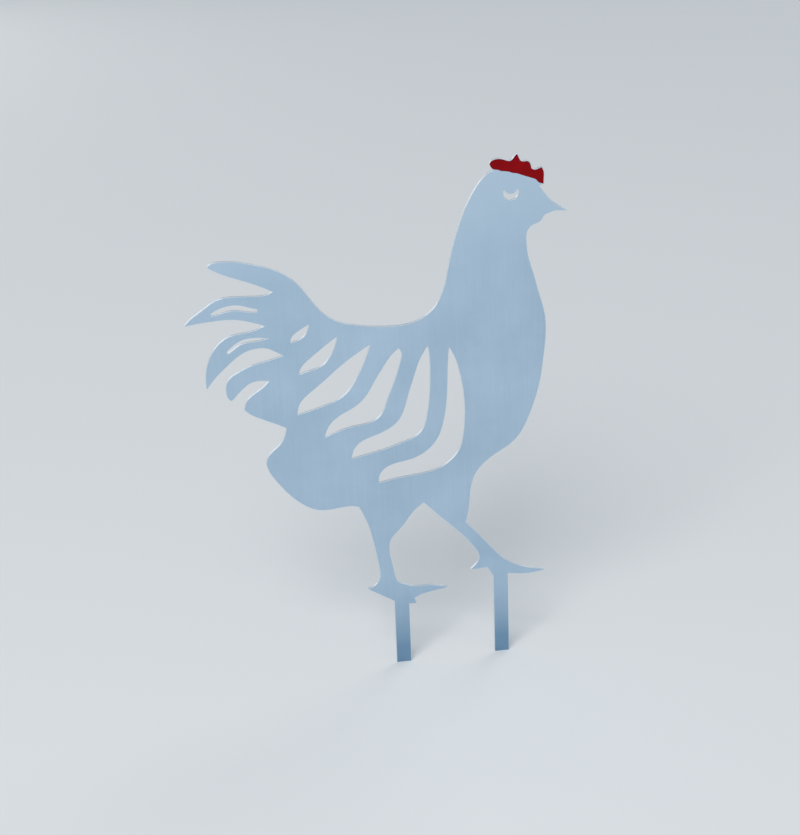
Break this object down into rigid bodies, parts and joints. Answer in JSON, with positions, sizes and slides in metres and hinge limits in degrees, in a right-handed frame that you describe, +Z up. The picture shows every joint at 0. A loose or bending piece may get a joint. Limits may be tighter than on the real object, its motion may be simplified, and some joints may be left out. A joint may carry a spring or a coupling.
{
  "type": "metal chicken garden statue",
  "caption": "Flat hen silhouette cut from sheet metal, with slotted wing feathers, a red-painted comb and legs that run on as stakes, to stand in the ground.",
  "frame": {"origin": "middle of the front stake's flat end, where the stake meets the ground", "axes": "+Z up along the stakes, +X towards the beak, and the face seen in the picture looks along -Y"},
  "size_m": [0.479, 0.003, 0.6925],
  "materials": {
    "bare_metal": "mill finish, fine upright grain, softly reflecting",
    "comb_paint": "satin dark red brushed on the comb only, with a thin bare rim"
  },
  "bodies": {
    "root": {"chicken_sheet": "bare_metal"}
  },
  "joints": []
}
